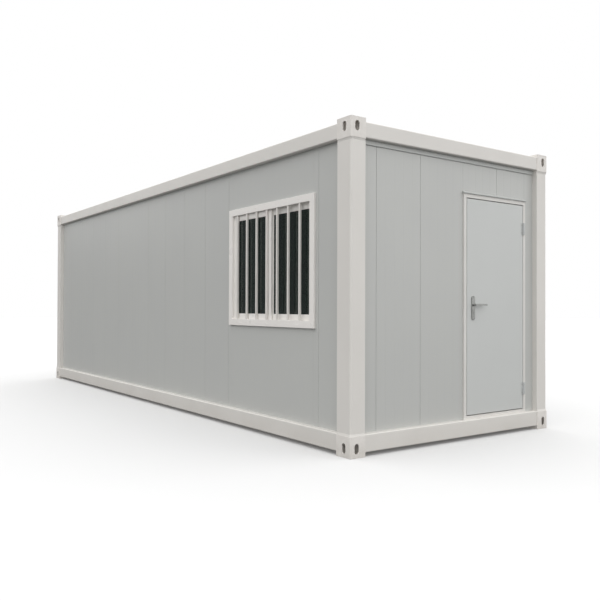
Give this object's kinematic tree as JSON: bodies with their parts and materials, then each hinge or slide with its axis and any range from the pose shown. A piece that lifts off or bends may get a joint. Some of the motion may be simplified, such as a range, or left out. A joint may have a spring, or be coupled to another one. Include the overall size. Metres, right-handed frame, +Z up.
{
  "type": "flat-pack container cabin",
  "caption": "Flat-pack container cabin: white steel frame with corner castings, grey sandwich-panel walls, a hinged steel door and a barred sliding window.",
  "frame": {"origin": "on the ground under the middle of the cabin", "axes": "+X to the right seen from the door end, +Y along the cabin away from the door, +Z up"},
  "size_m": [2.435, 7.335, 2.591],
  "materials": {
    "frame_paint": "warm white powder coat, low gloss",
    "panel_paint": "grey-white pre-painted sheet, satin",
    "door_paint": "light grey powder coat, satin",
    "trim_paint": "white powder coat, satin",
    "window_plastic": "white extruded profile, satin",
    "galvanised_steel": "hot-dip galvanised, matt",
    "roof_steel": "pre-painted roof sheet, satin",
    "ceiling_paint": "white pre-painted sheet, satin",
    "floor_vinyl": "vinyl-faced cement board, matt",
    "hardware_steel": "satin stainless steel",
    "window_glass": "dark tinted float glass"
  },
  "bodies": {
    "cabin": {"bottom_castings": "frame_paint", "top_castings": "frame_paint", "post_front_left": "frame_paint", "post_front_right": "frame_paint", "post_back_left": "frame_paint", "post_back_right": "frame_paint", "bottom_beam_front": "frame_paint", "bottom_beam_back": "frame_paint", "bottom_beam_left": "frame_paint", "bottom_beam_right": "frame_paint", "top_beam_front": "frame_paint", "top_beam_back": "frame_paint", "top_beam_left": "frame_paint", "top_beam_right": "frame_paint", "floor_joists": "galvanised_steel", "floor_board": "floor_vinyl", "floor_underside": "galvanised_steel", "roof_joists": "galvanised_steel", "roof_sheet": "roof_steel", "ceiling_board": "ceiling_paint", "left_wall_front": "panel_paint", "left_wall_under_window": "panel_paint", "left_wall_over_window": "panel_paint", "left_wall_middle": "panel_paint", "left_wall_back": "panel_paint", "right_wall_front": "panel_paint", "right_wall_middle": "panel_paint", "right_wall_back": "panel_paint", "back_wall_left": "panel_paint", "back_wall_right": "panel_paint", "front_wall_left": "panel_paint", "front_wall_over_door": "panel_paint", "front_wall_right": "panel_paint", "wall_trims": "trim_paint", "door_frame": "trim_paint", "door_sill": "hardware_steel", "drip_cap": "trim_paint", "strike_plate": "hardware_steel", "frame_hinges": "hardware_steel", "window_frame": "window_plastic", "window_bars": "frame_paint", "window_sash_near": "window_plastic", "window_sash_far": "window_plastic", "window_glass": "window_glass"},
    "door": {"door_leaf": "door_paint", "door_hinges": "hardware_steel", "lock_plates": "hardware_steel"},
    "lever": {"door_lever": "hardware_steel"}
  },
  "joints": [
    {"name": "door_hinge", "type": "hinge", "parent": "cabin", "child": "door", "pos_m": [0.907, -3.6325, 1.1335], "axis": [0, 0, 1], "range_deg": [0, 120]},
    {"name": "lever_pivot", "type": "hinge", "parent": "door", "child": "lever", "pos_m": [0.2075, -3.6255, 1.166], "axis": [0, 1, 0], "range_deg": [0, 40], "stiffness_Nm_per_rad": 1.2, "springref_deg": -22.92}
  ]
}
